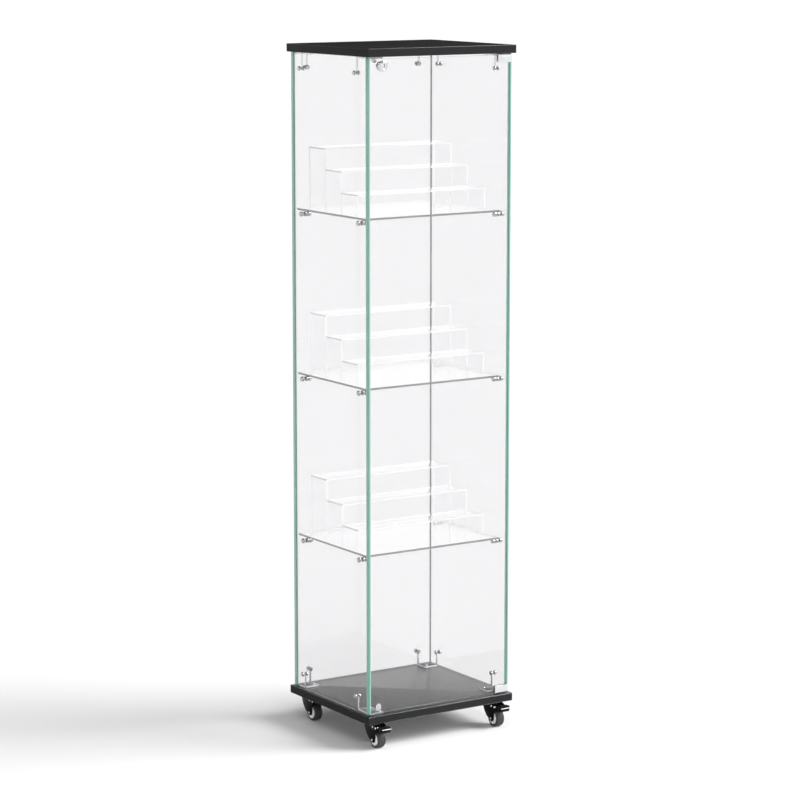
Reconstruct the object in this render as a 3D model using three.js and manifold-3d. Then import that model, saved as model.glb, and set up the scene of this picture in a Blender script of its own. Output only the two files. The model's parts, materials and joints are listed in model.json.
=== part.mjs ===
// Tall glass display case on four swivel castors.
//
// Two black panels are joined by three fixed glass walls and a glass door. Chrome corner brackets
// stand on the panels and hold the walls with through bolts. Three glass shelves rest on chrome
// studs, and each shelf carries three bridge-shaped clear risers.
//
// Millimetres, +Z up. X is the width, -Y is the door side. Sizes are measured from the middle of
// the panels and from the floor; the finished group is then shifted along Y so that the origin is
// the centre of the whole footprint, brake pedals included.

import * as THREE from 'three';
import { mergeVertices } from 'three/addons/utils/BufferGeometryUtils.js';
import Module from 'manifold-3d';

const wasm = await Module();
wasm.setup();

// ---------------------------------------------------------------- driving dimensions
const PANEL_WIDTH = 425;
const PANEL_DEPTH = 370;
const PANEL_THICKNESS = 20;
const CASE_HEIGHT = 1630;          // underside of the base panel to the top of the top panel
const CASTOR_HEIGHT = 64;          // floor to the underside of the base panel
const FIT = 0.3;                   // gap kept between pieces that touch

const GLASS = 5;                   // wall, door and shelf glass
const WALL_HALF_WIDTH = 205;       // outer faces of the side walls
const WALL_HALF_DEPTH = 175.5;     // outer faces of the door and the back wall
const DOOR_SIDE_GAP = 4;           // door to the front edges of the side walls
const DOOR_END_GAP = 4;            // door to each panel

const SHELF_CENTRES = { lower: 410, middle: 818, upper: 1226 };   // above the base's underside
const SHELF_HALF_WIDTH = 196;
const SHELF_FRONT = -148;
const SHELF_BACK = 168.5;
const SHELF_CORNER = 5;
const SUPPORT_ROWS = { front: -134, back: 126 };
const SUPPORT_RADIUS = 6;
const SUPPORT_REACH = 18;
const SUPPORT_CAP = 6.5;
const SUPPORT_BOLT = 3;

const RISER_WIDTH = 370;
const RISER_SHEET = 3;
const RISER_DEPTH = 73;
const RISER_PITCH = 73.6;
const RISER_FRONT = -93.5;
const RISER_HEIGHTS = { low: 51, mid: 102, high: 152.5 };

const BRACKET_PLATE = 39;          // side of the square foot plate
const BRACKET_THICKNESS = 4.5;
const BRACKET_FRONT_REACH = 12;    // extra depth of the two left front plates, up to the door stop
const FINGER_WIDTH = 5;
const FINGER_THICKNESS = 3;
const LOW_BOLT_HEIGHT = 37;        // bolts of the base's fingers above the base panel
const HIGH_BOLT_DROP = 39;         // bolts of the top's fingers below the top panel
const FINGER_BOLT = 2.5;
const FINGER_CAP_RADIUS = 5.5;
const FINGER_CAP = 4;
const FRONT_PLATE_EDGE = -151.5;   // front edge of a front plate, before any extra reach

const PIVOT_X = 199.5;
const PIVOT_PIN = 3;
const PIVOT_PIN_LENGTH = 10;
const CLAMP_WIDTH = 38;
const CLAMP_HEIGHT = 22;
const CLAMP_LEAF = 2.5;

const LOCK_X = -168;
const LOCK_DROP = 22;              // lock axis below the top panel
const LOCK_FLANGE_RADIUS = 13;
const LOCK_FRONT = 12.5;           // lock face in front of the door
const LOCK_BARREL_RADIUS = 8;
const LOCK_PLUG_RADIUS = 6;
const CAM_LENGTH = 16.5;
const CAM_WIDTH = 9;
const CAM_THICKNESS = 2.5;

const CASTOR_X = 176;
const CASTOR_Y = 147;
const CASTOR_PLATE = 46;
const TRAIL = 20;                  // wheel axle behind the swivel axis
const WHEEL_RADIUS = 21.5;
const WHEEL_WIDTH = 22;
const HUB_RADIUS = 15.5;
const SHOULDER_STEPS = 2;          // facets across each rounded tyre shoulder
const AXLE_RADIUS = 3;
const FORK_HALF_WIDTH = 15;
const FORK_WALL = 2.5;
const KINGPIN_RADIUS = 5;
const PEDAL_REACH = 61;            // pedal tip from the swivel axis
const PEDAL_HALF_WIDTH = 13.5;
const PEDAL_PIVOT_Y = -34;
const PEDAL_PIVOT_Z = 53;
const PEDAL_PIN_RADIUS = 1.6;

// ---------------------------------------------------------------- derived levels and faces
const baseTop = CASTOR_HEIGHT + PANEL_THICKNESS;
const caseTop = CASTOR_HEIGHT + CASE_HEIGHT;
const topUnderside = caseTop - PANEL_THICKNESS;
const sideInner = WALL_HALF_WIDTH - GLASS;
const backInner = WALL_HALF_DEPTH - GLASS;
const doorInner = -backInner;
const doorBottom = baseTop + DOOR_END_GAP;
const doorTop = topUnderside - DOOR_END_GAP;
const pivotY = -WALL_HALF_DEPTH + GLASS / 2;
const lockZ = topUnderside - LOCK_DROP;
const fingerOffset = BRACKET_PLATE - FINGER_WIDTH / 2;
const frontFingerY = FRONT_PLATE_EDGE + BRACKET_PLATE - FINGER_WIDTH / 2;
const lowFingerZ = baseTop + LOW_BOLT_HEIGHT;
const highFingerZ = topUnderside - HIGH_BOLT_DROP;
const frameShiftY = (CASTOR_Y + PEDAL_REACH - PANEL_DEPTH / 2) / 2;

// ---------------------------------------------------------------- materials
function finish(color, roughness, metalness, opacity = 1) {
  return new THREE.MeshStandardMaterial({
    color, roughness, metalness, opacity, transparent: opacity < 1,
  });
}

const blackLaminate = finish(0x1b1b1c, 0.45, 0);
const clearGlass = finish(0xd7ece5, 0.05, 0, 0.3);
const clearAcrylic = finish(0xf4f8fa, 0.08, 0, 0.4);
const chrome = finish(0xd9dadc, 0.12, 1);
const blackFork = finish(0x151516, 0.35, 0);
const hubWhite = finish(0xe9e9ea, 0.3, 0);
const tyreBlack = finish(0x1d1c1d, 0.6, 0);

// ---------------------------------------------------------------- solids
function toSolid(geometry) {
  const bare = geometry.index ? geometry.toNonIndexed() : geometry.clone();
  bare.deleteAttribute('normal');
  bare.deleteAttribute('uv');
  const merged = mergeVertices(bare, 1e-4);
  return new wasm.Manifold(new wasm.Mesh({
    numProp: 3,
    vertProperties: new Float32Array(merged.attributes.position.array),
    triVerts: new Uint32Array(merged.index.array),
  }));
}

function toGeometry(solid) {
  const mesh = solid.getMesh();
  const geometry = new THREE.BufferGeometry();
  geometry.setAttribute('position', new THREE.BufferAttribute(mesh.vertProperties, 3));
  geometry.setIndex(new THREE.BufferAttribute(mesh.triVerts, 1));
  geometry.computeVertexNormals();
  return geometry;
}

// A block between two opposite corners, given in any order.
function block(xs, ys, zs) {
  const size = [xs, ys, zs].map(([a, b]) => Math.abs(b - a));
  const middle = [xs, ys, zs].map(([a, b]) => (a + b) / 2);
  return toSolid(new THREE.BoxGeometry(...size).translate(...middle));
}

// A round bar along X, Y or Z from one level to another; centre gives the other two coordinates.
function bar(axis, radius, [from, to], centre, sides = 14) {
  const geometry = new THREE.CylinderGeometry(radius, radius, Math.abs(to - from), sides);
  const middle = (from + to) / 2;
  if (axis === 'x') geometry.rotateZ(-Math.PI / 2).translate(middle, centre[0], centre[1]);
  if (axis === 'y') geometry.translate(centre[0], middle, centre[1]);
  if (axis === 'z') geometry.rotateX(Math.PI / 2).translate(centre[0], centre[1], middle);
  return toSolid(geometry);
}

// A flat outline in Y and Z, made thick along X between two levels.
function slabAlongX(shape, [from, to], curveSegments = 4) {
  const settings = { depth: Math.abs(to - from), bevelEnabled: false, curveSegments };
  const geometry = new THREE.ExtrudeGeometry(shape, settings);
  const turn = new THREE.Matrix4().makeBasis(
    new THREE.Vector3(0, 1, 0), new THREE.Vector3(0, 0, 1), new THREE.Vector3(1, 0, 0));
  geometry.applyMatrix4(turn).translate(Math.min(from, to), 0, 0);
  return toSolid(geometry);
}

function union(...solids) {
  return solids.reduce((sum, solid) => sum.add(solid));
}

function without(solid, ...tools) {
  return tools.reduce((left, tool) => left.subtract(tool), solid);
}

// ---------------------------------------------------------------- the assembly
const displayCase = new THREE.Group();
displayCase.position.y = frameShiftY;

function piece(name, solid, material) {
  const mesh = new THREE.Mesh(toGeometry(solid), material);
  mesh.name = name;
  displayCase.add(mesh);
}

// A panel has a blind hole for the door's pivot pin.
function panel(name, bottom, holeLevels) {
  const board = block([-PANEL_WIDTH / 2, PANEL_WIDTH / 2], [-PANEL_DEPTH / 2, PANEL_DEPTH / 2],
    [bottom, bottom + PANEL_THICKNESS]);
  const hole = bar('z', PIVOT_PIN + 0.5, holeLevels, [PIVOT_X, pivotY]);
  piece(name, without(board, hole), blackLaminate);
}

// Through holes for the shelf supports and bracket bolts, in the wall whose outward side is side.
function sideWallHoles(side) {
  const reach = [side * (sideInner - 1), side * (WALL_HALF_WIDTH + 1)];
  const holes = [];
  for (const level of Object.values(SHELF_CENTRES)) {
    for (const y of Object.values(SUPPORT_ROWS)) {
      holes.push(bar('x', SUPPORT_BOLT + FIT, reach, [y, supportZ(level)], 12));
    }
  }
  for (const z of [lowFingerZ, highFingerZ]) {
    for (const y of [frontFingerY, backInner - fingerOffset]) {
      holes.push(bar('x', FINGER_BOLT + FIT, reach, [y, z], 12));
    }
  }
  return holes;
}

function walls() {
  const levels = [baseTop + FIT, topUnderside - FIT];
  const frontEdge = doorInner + DOOR_SIDE_GAP;
  for (const [name, side] of [['left_side_glass', -1], ['right_side_glass', 1]]) {
    const sheet = block([side * sideInner, side * WALL_HALF_WIDTH], [frontEdge, backInner - FIT],
      levels);
    piece(name, without(sheet, ...sideWallHoles(side)), clearGlass);
  }
  const back = block([-WALL_HALF_WIDTH, WALL_HALF_WIDTH], [backInner, WALL_HALF_DEPTH], levels);
  const holes = [];
  for (const z of [lowFingerZ, highFingerZ]) {
    for (const side of [-1, 1]) {
      const x = side * (sideInner - fingerOffset);
      holes.push(bar('y', FINGER_BOLT + FIT, [backInner - 1, WALL_HALF_DEPTH + 1], [x, z], 12));
    }
  }
  piece('back_glass', without(back, ...holes), clearGlass);
}

// ---------------------------------------------------------------- shelves, supports, risers
function shelfBottom(level) {
  return CASTOR_HEIGHT + level - GLASS / 2;
}

function supportZ(level) {
  return shelfBottom(level) - FIT - SUPPORT_RADIUS;
}

function roundedRectangle(x0, x1, y0, y1, r) {
  const shape = new THREE.Shape();
  shape.moveTo(x0 + r, y0);
  shape.lineTo(x1 - r, y0);
  shape.absarc(x1 - r, y0 + r, r, -Math.PI / 2, 0);
  shape.lineTo(x1, y1 - r);
  shape.absarc(x1 - r, y1 - r, r, 0, Math.PI / 2);
  shape.lineTo(x0 + r, y1);
  shape.absarc(x0 + r, y1 - r, r, Math.PI / 2, Math.PI);
  shape.lineTo(x0, y0 + r);
  shape.absarc(x0 + r, y0 + r, r, Math.PI, 1.5 * Math.PI);
  return shape;
}

function shelf(name, level) {
  const outline = roundedRectangle(-SHELF_HALF_WIDTH, SHELF_HALF_WIDTH, SHELF_FRONT, SHELF_BACK,
    SHELF_CORNER);
  const sheet = new THREE.ExtrudeGeometry(outline,
    { depth: GLASS, bevelEnabled: false, curveSegments: 4 });
  piece(name, toSolid(sheet.translate(0, 0, shelfBottom(level))), clearGlass);
}

// A stud: a bolt through the wall, a cap outside it, and a long round knob inside it under the
// shelf, waisted where the shelf's edge ends.
function shelfSupport(name, side, y, level) {
  const centre = [y, supportZ(level)];
  const inside = side * (sideInner - FIT);
  const outside = side * (WALL_HALF_WIDTH + FIT);
  const waist = inside - side * 6;
  const tip = inside - side * SUPPORT_REACH;
  piece(name, union(
    bar('x', SUPPORT_BOLT, [inside - side, outside + side], centre, 8),
    bar('x', SUPPORT_RADIUS, [inside, waist], centre),
    bar('x', SUPPORT_RADIUS - 2, [waist + side, waist - side * 3], centre, 8),
    bar('x', SUPPORT_RADIUS, [waist - side * 2, tip], centre),
    bar('x', SUPPORT_RADIUS, [outside, outside + side * SUPPORT_CAP], centre),
  ), chrome);
}

// A bridge: a flat tread on two legs, all of one bent sheet, open to the front and the back.
function riser(name, height, front, level) {
  const foot = shelfBottom(level) + GLASS + FIT;
  const half = RISER_WIDTH / 2;
  const bend = RISER_SHEET + 1;
  const outline = new THREE.Shape();
  outline.moveTo(-half, 0);
  outline.lineTo(-half + RISER_SHEET, 0);
  outline.lineTo(-half + RISER_SHEET, height - bend);
  outline.absarc(-half + bend, height - bend, bend - RISER_SHEET, Math.PI, Math.PI / 2, true);
  outline.lineTo(half - bend, height - RISER_SHEET);
  outline.absarc(half - bend, height - bend, bend - RISER_SHEET, Math.PI / 2, 0, true);
  outline.lineTo(half - RISER_SHEET, 0);
  outline.lineTo(half, 0);
  outline.lineTo(half, height - bend);
  outline.absarc(half - bend, height - bend, bend, 0, Math.PI / 2);
  outline.lineTo(-half + bend, height);
  outline.absarc(-half + bend, height - bend, bend, Math.PI / 2, Math.PI);
  const bridge = new THREE.ExtrudeGeometry(outline,
    { depth: RISER_DEPTH, bevelEnabled: false, curveSegments: 3 });
  bridge.rotateX(Math.PI / 2).translate(0, front + RISER_DEPTH, foot);
  piece(name, toSolid(bridge), clearAcrylic);
}

function shelvesAndRisers() {
  for (const [floorName, level] of Object.entries(SHELF_CENTRES)) {
    shelf(`${floorName}_shelf`, level);
    for (const [rowName, y] of Object.entries(SUPPORT_ROWS)) {
      shelfSupport(`${floorName}_shelf_support_${rowName}_left`, -1, y, level);
      shelfSupport(`${floorName}_shelf_support_${rowName}_right`, 1, y, level);
    }
    Object.entries(RISER_HEIGHTS).forEach(([riserName, height], row) => {
      riser(`${floorName}_riser_${riserName}`, height, RISER_FRONT + row * RISER_PITCH, level);
    });
  }
}

// ---------------------------------------------------------------- corner brackets
// up is +1 for brackets that stand on the base and -1 for those that hang from the top panel.
function levelFrom(panelFace, up, distance) {
  return panelFace + up * distance;
}

// A strap that stands up along a glass wall, with a bolt through the glass and a round cap
// outside it. across is the axis through the glass; face is where the wall begins and ends.
function finger(across, side, [inner, outer], along, panelFace, up) {
  const boltZ = up > 0 ? lowFingerZ : highFingerZ;
  const inside = side * (inner - FIT);
  const room = inside - side * FINGER_THICKNESS;
  const outside = side * (outer + FIT);
  const strapAlong = [along - FINGER_WIDTH / 2, along + FINGER_WIDTH / 2];
  const strapUp = [levelFrom(panelFace, up, FIT + 1), boltZ];
  const strap = across === 'x'
    ? block([inside, room], strapAlong, strapUp)
    : block(strapAlong, [inside, room], strapUp);
  return union(
    strap,
    bar(across, FINGER_CAP_RADIUS, [inside, room], [along, boltZ]),
    bar(across, FINGER_CAP_RADIUS - 1, [room + side, room - side * 3], [along, boltZ]),
    bar(across, FINGER_BOLT, [inside - side, outside + side], [along, boltZ], 8),
    bar(across, FINGER_CAP_RADIUS, [outside, outside + side * FINGER_CAP], [along, boltZ]),
  );
}

function footPlate(side, ys, panelFace, up) {
  const levels = [levelFrom(panelFace, up, FIT), levelFrom(panelFace, up, BRACKET_THICKNESS)];
  const outer = side * (sideInner - FIT);
  const plate = block([outer, outer - side * BRACKET_PLATE], ys, levels);
  const screwHead = bar('z', 4, [levels[1] - up, levels[1] + up * 1.8],
    [outer - side * (BRACKET_PLATE - 9), ys[0] + Math.sign(ys[1] - ys[0]) * 9]);
  return plate.add(screwHead);
}

function backBracket(name, side, panelFace, up) {
  const rear = backInner - FIT;
  piece(name, union(
    footPlate(side, [rear - BRACKET_PLATE, rear], panelFace, up),
    finger('x', side, [sideInner, WALL_HALF_WIDTH], backInner - fingerOffset, panelFace, up),
    finger('y', 1, [backInner, WALL_HALF_DEPTH], side * (sideInner - fingerOffset),
      panelFace, up),
  ), chrome);
}

// The left front brackets reach forward to a rounded tab with a bumper that the door closes on.
function doorStop(tabCentre, tabHeight, panelFace, up) {
  const front = FRONT_PLATE_EDGE - BRACKET_FRONT_REACH;
  const top = levelFrom(panelFace, up, tabHeight);
  const root = levelFrom(panelFace, up, FIT + 1);
  const radius = 7;
  const centre = [tabCentre, top - up * radius];
  return union(
    block([tabCentre - radius, tabCentre + radius], [front - 1, front + 2],
      [root, centre[1]]),
    bar('y', radius, [front - 1, front + 2], centre),
    bar('y', 4, [front, doorInner + 2 * FIT], centre),
  );
}

function frontBracket(name, side, panelFace, up, stop) {
  const front = FRONT_PLATE_EDGE - (stop ? BRACKET_FRONT_REACH : 0);
  const solid = union(
    footPlate(side, [FRONT_PLATE_EDGE + BRACKET_PLATE, front], panelFace, up),
    finger('x', side, [sideInner, WALL_HALF_WIDTH], frontFingerY, panelFace, up),
  );
  piece(name, stop ? solid.add(doorStop(stop.x, stop.height, panelFace, up)) : solid, chrome);
}

function brackets() {
  const ends = [
    { where: 'bottom', face: baseTop, up: 1, stop: { x: -174, height: 26 } },
    { where: 'top', face: topUnderside, up: -1, stop: { x: -185, height: 14.5 } },
  ];
  for (const { where, face, up, stop } of ends) {
    backBracket(`${where}_bracket_back_left`, -1, face, up);
    backBracket(`${where}_bracket_back_right`, 1, face, up);
    frontBracket(`${where}_bracket_front_left`, -1, face, up, stop);
    frontBracket(`${where}_bracket_front_right`, 1, face, up, null);
  }
}

// ---------------------------------------------------------------- door, pivots and lock
function doorGlass() {
  const sheet = block([-WALL_HALF_WIDTH, WALL_HALF_WIDTH], [-WALL_HALF_DEPTH, doorInner],
    [doorBottom, doorTop]);
  const lockHole = bar('y', LOCK_BARREL_RADIUS + FIT, [-WALL_HALF_DEPTH - 1, doorInner + 1],
    [LOCK_X, lockZ], 20);
  piece('door_glass', without(sheet, lockHole), clearGlass);
}

// A clamp folds round the glass at a door corner and carries the pivot pin on the outer end.
// glassEnd is the door's edge at that corner, up points from the clamp into the panel.
function pivotClamp(name, glassEnd, up) {
  const webInner = glassEnd + up * FIT;
  const webOuter = glassEnd + up * (DOOR_END_GAP - 1);
  const leafEnd = glassEnd - up * (CLAMP_HEIGHT - DOOR_END_GAP);
  const xs = [PIVOT_X + 3, PIVOT_X + 3 - CLAMP_WIDTH];
  const frontLeaf = [-WALL_HALF_DEPTH - FIT - CLAMP_LEAF, -WALL_HALF_DEPTH - FIT];
  const backLeaf = [doorInner + FIT, doorInner + FIT + CLAMP_LEAF];
  piece(name, union(
    block(xs, [frontLeaf[0], backLeaf[1]], [webInner, webOuter]),
    block(xs, frontLeaf, [leafEnd, webOuter]),
    block(xs, backLeaf, [leafEnd, webOuter]),
    bar('z', PIVOT_PIN, [webInner, webOuter + up * PIVOT_PIN_LENGTH], [PIVOT_X, pivotY]),
  ), chrome);
}

// Levels along Y of the lock: its face, the nut behind the glass, and the end of the barrel.
const lockFace = -WALL_HALF_DEPTH - LOCK_FRONT;
const lockNutEnd = doorInner + 4;
const lockBarrelEnd = FRONT_PLATE_EDGE - BRACKET_FRONT_REACH + 2;

function lockBody() {
  const centre = [LOCK_X, lockZ];
  const outerFace = -WALL_HALF_DEPTH - FIT;
  const solid = union(
    bar('y', LOCK_FLANGE_RADIUS, [lockFace + 3, outerFace], centre, 20),
    bar('y', LOCK_FLANGE_RADIUS - 2, [lockFace, outerFace], centre, 20),
    bar('y', LOCK_BARREL_RADIUS, [outerFace - 1, lockBarrelEnd], centre, 16),
    bar('y', LOCK_BARREL_RADIUS + 3, [doorInner + FIT, lockNutEnd], centre, 6),
  );
  const bore = bar('y', LOCK_PLUG_RADIUS + FIT, [lockFace - 1, lockBarrelEnd + 1], centre, 16);
  piece('lock_body', without(solid, bore), chrome);
}

// The plug turns in the body; the cam on its inner end points sideways when unlocked.
function lockCam() {
  const centre = [LOCK_X, lockZ];
  const camLevels = [lockBarrelEnd + FIT, lockBarrelEnd + FIT + CAM_THICKNESS];
  const plug = bar('y', LOCK_PLUG_RADIUS, [lockFace + 0.5, camLevels[1]], centre, 16);
  const keyway = block([LOCK_X - 0.8, LOCK_X + 0.8], [lockFace - 1, lockFace + 7],
    [lockZ - 4, lockZ + 4]);
  const arm = block([LOCK_X, LOCK_X + CAM_LENGTH - CAM_WIDTH / 2], camLevels,
    [lockZ - CAM_WIDTH / 2, lockZ + CAM_WIDTH / 2]);
  const tip = bar('y', CAM_WIDTH / 2, camLevels,
    [LOCK_X + CAM_LENGTH - CAM_WIDTH / 2, lockZ]);
  piece('lock_cam', union(without(plug, keyway), arm, tip), chrome);
}

// ---------------------------------------------------------------- castors
const forkTop = CASTOR_HEIGHT - 3.1;
const axleZ = WHEEL_RADIUS;

function castorPlate(name, x, y) {
  const half = CASTOR_PLATE / 2;
  const top = CASTOR_HEIGHT - FIT;
  piece(name, union(
    block([x - half, x + half], [y - half, y + half], [forkTop + FIT, top]),
    bar('z', KINGPIN_RADIUS, [forkTop - 10, top - 1], [x, y]),
    bar('z', KINGPIN_RADIUS + 2, [forkTop - 12.6, forkTop - 10.6], [x, y]),
    bar('z', KINGPIN_RADIUS, [forkTop - 11, forkTop - 9], [x, y]),
  ), blackFork);
}

// The fork's side outline in Y (from the swivel axis) and Z: broad under the plate, drawn in
// behind the wheel, and rounded about the axle.
function forkOutline() {
  const lug = 8;
  const shape = new THREE.Shape();
  shape.moveTo(18, forkTop);
  shape.lineTo(18, forkTop - 8);
  shape.quadraticCurveTo(15, 38, 1, 24);
  shape.lineTo(-TRAIL + lug * Math.cos(-0.9), axleZ + lug * Math.sin(-0.9));
  shape.absarc(-TRAIL, axleZ, lug, -0.9, Math.PI, true);
  shape.lineTo(-TRAIL - lug - 1, axleZ + 14);
  shape.quadraticCurveTo(-TRAIL - lug - 3, 44, -38, 48);
  shape.lineTo(-38, forkTop - 7);
  shape.quadraticCurveTo(-30, forkTop, -18, forkTop);
  return shape;
}

// A braked fork also holds the pedal's pivot pin.
function castorFork(name, x, y, braked) {
  const outer = [x - FORK_HALF_WIDTH, x + FORK_HALF_WIDTH];
  const inner = [outer[0] + FORK_WALL, outer[1] - FORK_WALL];
  const shell = slabAlongX(forkOutline(), outer).translate([0, y, 0]);
  const wheelRoom = block(inner, [y - 60, y + 30], [0, forkTop - 9]);
  const boreUp = bar('z', KINGPIN_RADIUS + FIT, [forkTop - 20, forkTop + 1], [x, y]);
  const rivetRoom = bar('z', KINGPIN_RADIUS + 2 + FIT, [forkTop - 20, forkTop - 10.3], [x, y]);
  const pedalRoom = block(inner, [y - 60, y - 22], [0, forkTop + 1]);
  const axleCentre = [y - TRAIL, axleZ];
  const headReach = FORK_HALF_WIDTH + 2;
  const fork = union(
    without(shell, wheelRoom, pedalRoom, boreUp, rivetRoom),
    bar('x', AXLE_RADIUS, [x - headReach, x + headReach], axleCentre, 12),
    bar('x', AXLE_RADIUS + 2, [outer[0] + 0.5, x - headReach], axleCentre, 12),
    bar('x', AXLE_RADIUS + 2, [outer[1] - 0.5, x + headReach], axleCentre, 12),
  );
  const pedalPin = bar('x', PEDAL_PIN_RADIUS, [inner[0] - 1, inner[1] + 1],
    [y + PEDAL_PIVOT_Y, PEDAL_PIVOT_Z], 12);
  piece(name, braked ? fork.add(pedalPin) : fork, blackFork);
}

function castorHub(name, x, y) {
  const centre = [y - TRAIL, axleZ];
  const half = WHEEL_WIDTH / 2;
  const disc = bar('x', HUB_RADIUS, [x - half, x + half], centre, 24);
  const bore = bar('x', AXLE_RADIUS + FIT, [x - half - 1, x + half + 1], centre, 12);
  piece(name, without(disc, bore), hubWhite);
}

// A ring with rounded shoulders round the hub.
function castorTyre(name, x, y) {
  const half = WHEEL_WIDTH / 2;
  const shoulder = 3.5;
  const inside = HUB_RADIUS + FIT;
  const profile = [new THREE.Vector2(inside, -half)];
  for (let step = 0; step <= SHOULDER_STEPS; step += 1) {
    const turn = (step / SHOULDER_STEPS) * Math.PI / 2;
    profile.push(new THREE.Vector2(WHEEL_RADIUS - shoulder + shoulder * Math.sin(turn),
      -half + shoulder - shoulder * Math.cos(turn)));
  }
  for (let step = 0; step <= SHOULDER_STEPS; step += 1) {
    const turn = (step / SHOULDER_STEPS) * Math.PI / 2;
    profile.push(new THREE.Vector2(WHEEL_RADIUS - shoulder + shoulder * Math.cos(turn),
      half - shoulder + shoulder * Math.sin(turn)));
  }
  profile.push(new THREE.Vector2(inside, half), new THREE.Vector2(inside, -half));
  const ring = new THREE.LatheGeometry(profile, 28);
  ring.rotateZ(-Math.PI / 2).translate(x, y - TRAIL, axleZ);
  piece(name, toSolid(ring), tyreBlack);
}

// A foot pedal on a pin in the fork. Pressing its broad tip down swings the shoe to the tyre.
function brakePedal(name, x, y) {
  const tip = -PEDAL_REACH;
  const outline = new THREE.Shape();
  outline.moveTo(-28, PEDAL_PIVOT_Z + 2.5);
  outline.quadraticCurveTo(-38, PEDAL_PIVOT_Z + 5, tip + 4, PEDAL_PIVOT_Z + 6);
  outline.lineTo(tip, PEDAL_PIVOT_Z + 3);
  outline.lineTo(tip + 1, PEDAL_PIVOT_Z - 1);
  outline.lineTo(tip + 4, PEDAL_PIVOT_Z - 9);
  outline.quadraticCurveTo(-48, PEDAL_PIVOT_Z - 7, -38, PEDAL_PIVOT_Z - 4);
  outline.lineTo(-28, PEDAL_PIVOT_Z - 1.5);
  const reach = [x - PEDAL_HALF_WIDTH, x + PEDAL_HALF_WIDTH];
  const neck = FORK_HALF_WIDTH - FORK_WALL - 0.5;
  const blank = slabAlongX(outline, reach).translate([0, y, 0]);
  const sides = [-1, 1].map((side) => block([x + side * neck, x + side * 30],
    [y - 43, y], [PEDAL_PIVOT_Z - 15, PEDAL_PIVOT_Z + 15]));
  const shoe = block([x - 8, x + 8], [y - 37.5, y - 33],
    [PEDAL_PIVOT_Z - 12.4, PEDAL_PIVOT_Z - 2.5]);
  const pinRoom = bar('x', PEDAL_PIN_RADIUS + FIT, reach, [y + PEDAL_PIVOT_Y, PEDAL_PIVOT_Z], 12);
  piece(name, without(without(blank, ...sides).add(shoe), pinRoom), blackFork);
}

function castors() {
  const corners = [
    ['front_left', -CASTOR_X, -CASTOR_Y], ['front_right', CASTOR_X, -CASTOR_Y],
    ['back_left', -CASTOR_X, CASTOR_Y], ['back_right', CASTOR_X, CASTOR_Y],
  ];
  for (const [where, x, y] of corners) {
    castorPlate(`castor_plate_${where}`, x, y);
    castorFork(`castor_fork_${where}`, x, y, y < 0);
    castorHub(`castor_hub_${where}`, x, y);
    castorTyre(`castor_tyre_${where}`, x, y);
    if (y < 0) brakePedal(`brake_pedal_${where}`, x, y);
  }
}

panel('base_panel', CASTOR_HEIGHT, [baseTop - PIVOT_PIN_LENGTH - 2, baseTop + 1]);
panel('top_panel', topUnderside, [topUnderside - 1, topUnderside + PIVOT_PIN_LENGTH + 2]);
walls();
shelvesAndRisers();
brackets();
doorGlass();
pivotClamp('door_clamp_bottom', doorBottom, -1);
pivotClamp('door_clamp_top', doorTop, 1);
lockBody();
lockCam();
castors();

export default displayCase;
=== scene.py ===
"""Looks for a tall glass display case on four castors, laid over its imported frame.

Everything is in metres in the frame's own axes: X is the width, -Y the door side, Z up.
"""
import json
import math

import bmesh
import bpy
import numpy as np
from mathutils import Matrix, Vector


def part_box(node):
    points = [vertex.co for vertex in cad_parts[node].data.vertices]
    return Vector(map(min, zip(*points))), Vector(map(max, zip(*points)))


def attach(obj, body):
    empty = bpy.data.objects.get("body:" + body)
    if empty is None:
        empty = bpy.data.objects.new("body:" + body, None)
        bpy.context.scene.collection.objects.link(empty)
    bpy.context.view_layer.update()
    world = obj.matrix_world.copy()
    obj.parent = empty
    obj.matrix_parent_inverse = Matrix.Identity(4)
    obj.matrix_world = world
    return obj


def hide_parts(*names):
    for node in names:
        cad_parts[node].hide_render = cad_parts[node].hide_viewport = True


bl_info = {
    "name": "Glass Display Case",
    "version": (1, 0, 0),
    "blender": (4, 5, 0),
    "location": "3D View > Sidebar > Display Case",
    "description": "Builds the finished pieces, materials and stage of a glass display case",
    "category": "Object",
}

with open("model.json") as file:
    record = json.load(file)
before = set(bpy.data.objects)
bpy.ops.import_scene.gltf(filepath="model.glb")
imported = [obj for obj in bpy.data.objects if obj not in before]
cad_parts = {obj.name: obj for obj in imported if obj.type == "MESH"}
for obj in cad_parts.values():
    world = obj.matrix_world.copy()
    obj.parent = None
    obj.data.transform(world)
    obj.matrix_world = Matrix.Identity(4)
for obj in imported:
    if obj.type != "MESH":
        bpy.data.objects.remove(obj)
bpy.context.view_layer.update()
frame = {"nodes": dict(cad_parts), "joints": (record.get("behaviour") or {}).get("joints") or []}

MM = 0.001
FLOORS = ("lower", "middle", "upper")
STEPS = ("low", "mid", "high")
CORNERS = ("front_left", "front_right", "back_left", "back_right")

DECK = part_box("base_panel")[1].z
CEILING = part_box("top_panel")[0].z
SIDE_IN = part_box("right_side_glass")[0].x
SIDE_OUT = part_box("right_side_glass")[1].x
BACK_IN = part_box("back_glass")[0].y
BACK_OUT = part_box("back_glass")[1].y
DOOR_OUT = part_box("door_glass")[0].y
DOOR_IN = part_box("door_glass")[1].y
SIDE_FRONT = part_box("left_side_glass")[0].y
JOINTS = {joint["name"]: joint for joint in frame["joints"]}

FIT = 0.3 * MM          # gap between pieces that nearly touch
GLASS_GAP = 0.4 * MM    # gap between hardware and the glass it stands against
GLOW = 4 * MM           # width of the strip near a sheet's edge that shows the cut edge's green
GLASS_TINT = (0.960, 0.957, 0.959)
SHELF_TINT = (0.996, 0.996, 0.996)
ACRYLIC_TINT = (0.988, 0.989, 0.99)


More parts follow.
